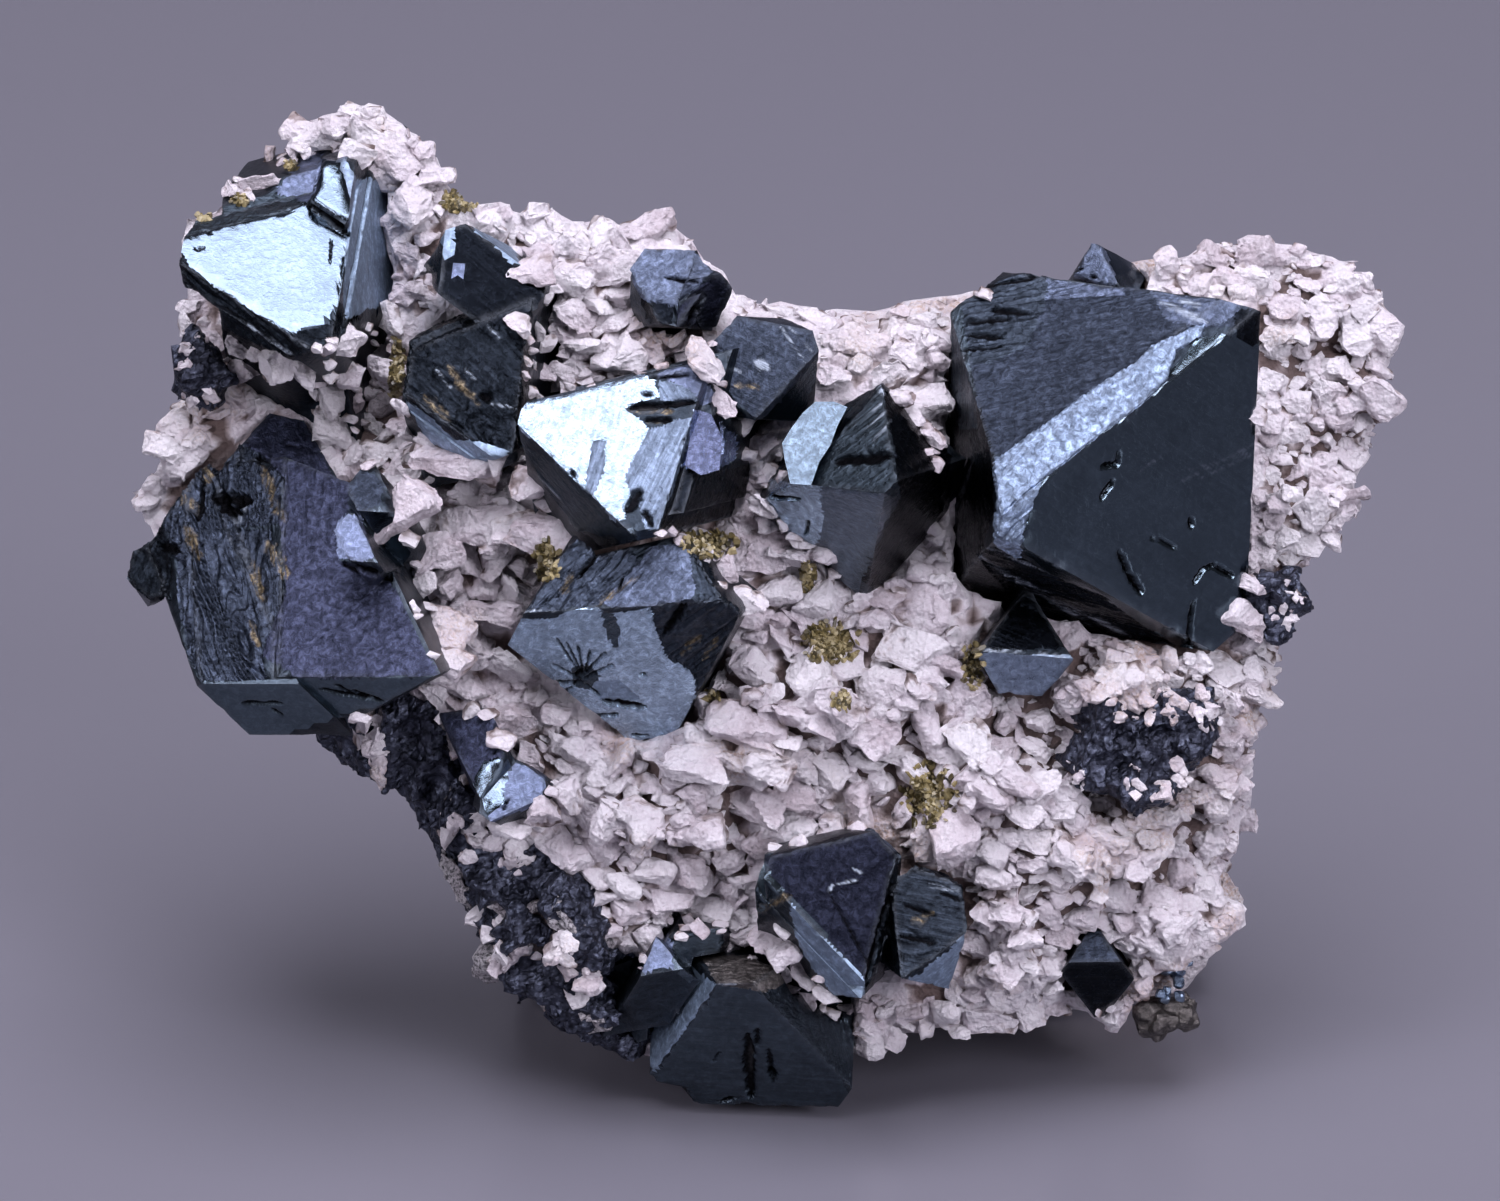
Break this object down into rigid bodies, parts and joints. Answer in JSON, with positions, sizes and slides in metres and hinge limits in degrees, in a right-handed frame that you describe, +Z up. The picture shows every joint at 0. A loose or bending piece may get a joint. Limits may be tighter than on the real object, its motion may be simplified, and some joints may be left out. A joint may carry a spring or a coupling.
{
  "type": "magnetite specimen",
  "caption": "Mineral specimen of octahedral magnetite crystals scattered over a broken block of pale feldspar, standing on its foot.",
  "frame": {"origin": "middle of the overall footprint, on the table", "axes": "+X along the width of the crystal face, +Y to the back, +Z up; the crystal face looks along -Y and leans back"},
  "size_m": [0.0925, 0.0497, 0.0688],
  "materials": {
    "feldspar": "rough, sugary",
    "magnetite": "metallic lustre, smooth to striated faces",
    "granular_magnetite": "granular, dull to glittering",
    "epidote": "fine glassy needles"
  },
  "bodies": {
    "root": {"epidote_centre": "epidote", "epidote_lower": "epidote", "epidote_middle": "epidote", "epidote_top": "epidote", "epidote_upper_left": "epidote", "feldspar_matrix": "feldspar", "granular_magnetite_flank": "granular_magnetite", "granular_magnetite_left": "granular_magnetite", "granular_magnetite_patch": "granular_magnetite", "granular_magnetite_right": "granular_magnetite", "magnetite_bottom": "magnetite", "magnetite_bottom_left": "magnetite", "magnetite_bottom_right": "magnetite", "magnetite_centre": "magnetite", "magnetite_centre_lower": "magnetite", "magnetite_corner": "magnetite", "magnetite_left": "magnetite", "magnetite_lower_left": "magnetite", "magnetite_lower_pair": "magnetite", "magnetite_right": "magnetite", "magnetite_right_of_centre": "magnetite", "magnetite_top": "magnetite", "magnetite_top_right": "magnetite", "magnetite_upper_centre": "magnetite", "magnetite_upper_left": "magnetite", "magnetite_upper_pair": "magnetite"}
  },
  "joints": []
}
